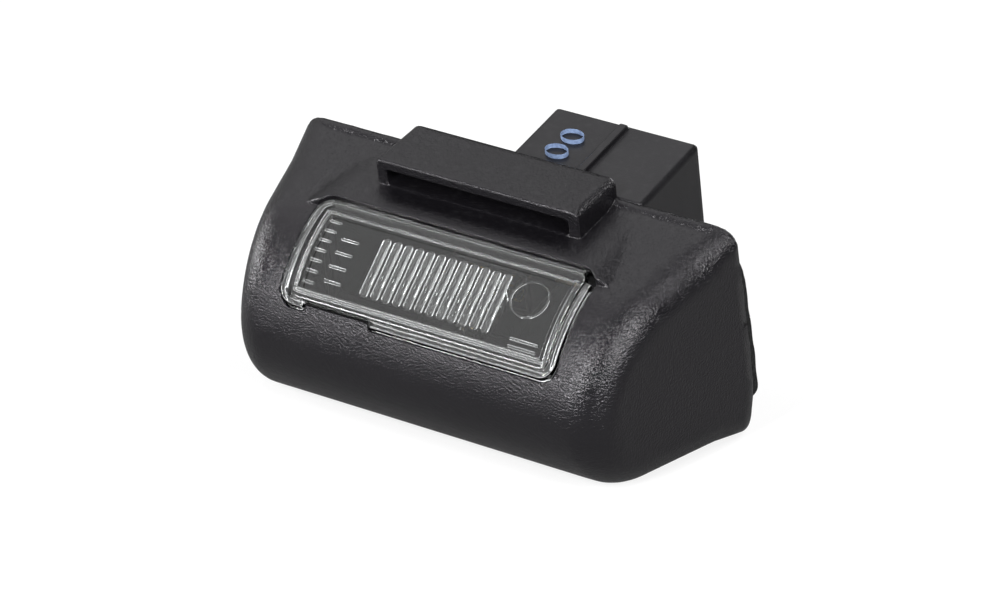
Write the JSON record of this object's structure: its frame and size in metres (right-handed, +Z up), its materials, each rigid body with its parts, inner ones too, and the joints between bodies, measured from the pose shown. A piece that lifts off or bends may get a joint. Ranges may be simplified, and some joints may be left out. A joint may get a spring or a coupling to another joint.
{
  "type": "number plate lamp",
  "caption": "Clip-in number plate lamp: rounded grained housing with a slotted hook tongue, a stepped clear lens with flutes, a wedge bulb and a rear connector block.",
  "frame": {"origin": "under the middle of the lamp's box, on the plane of the housing's flat bottom", "axes": "+X along the lamp, to the side with the connector block; +Y towards the connector; +Z up from the flat bottom"},
  "size_m": [0.079, 0.0488, 0.0415],
  "materials": {
    "housing_plastic": "fine moulded grain",
    "cover_plastic": "satin",
    "lens_clear": "clear, polished",
    "seal_rubber": "matt",
    "gasket_rubber": "matt, soft",
    "contact_brass": "rolled strip",
    "bulb_clear": "clear",
    "lead_wire": "drawn wire"
  },
  "bodies": {
    "root": {"housing": "housing_plastic", "rear_cover": "cover_plastic", "lens": "lens_clear", "lens_seal": "seal_rubber", "mounting_gasket": "gasket_rubber", "contact_left": "contact_brass", "contact_right": "contact_brass", "bulb_glass": "bulb_clear", "bulb_leads": "lead_wire", "bulb_filament": "lead_wire"}
  },
  "joints": []
}
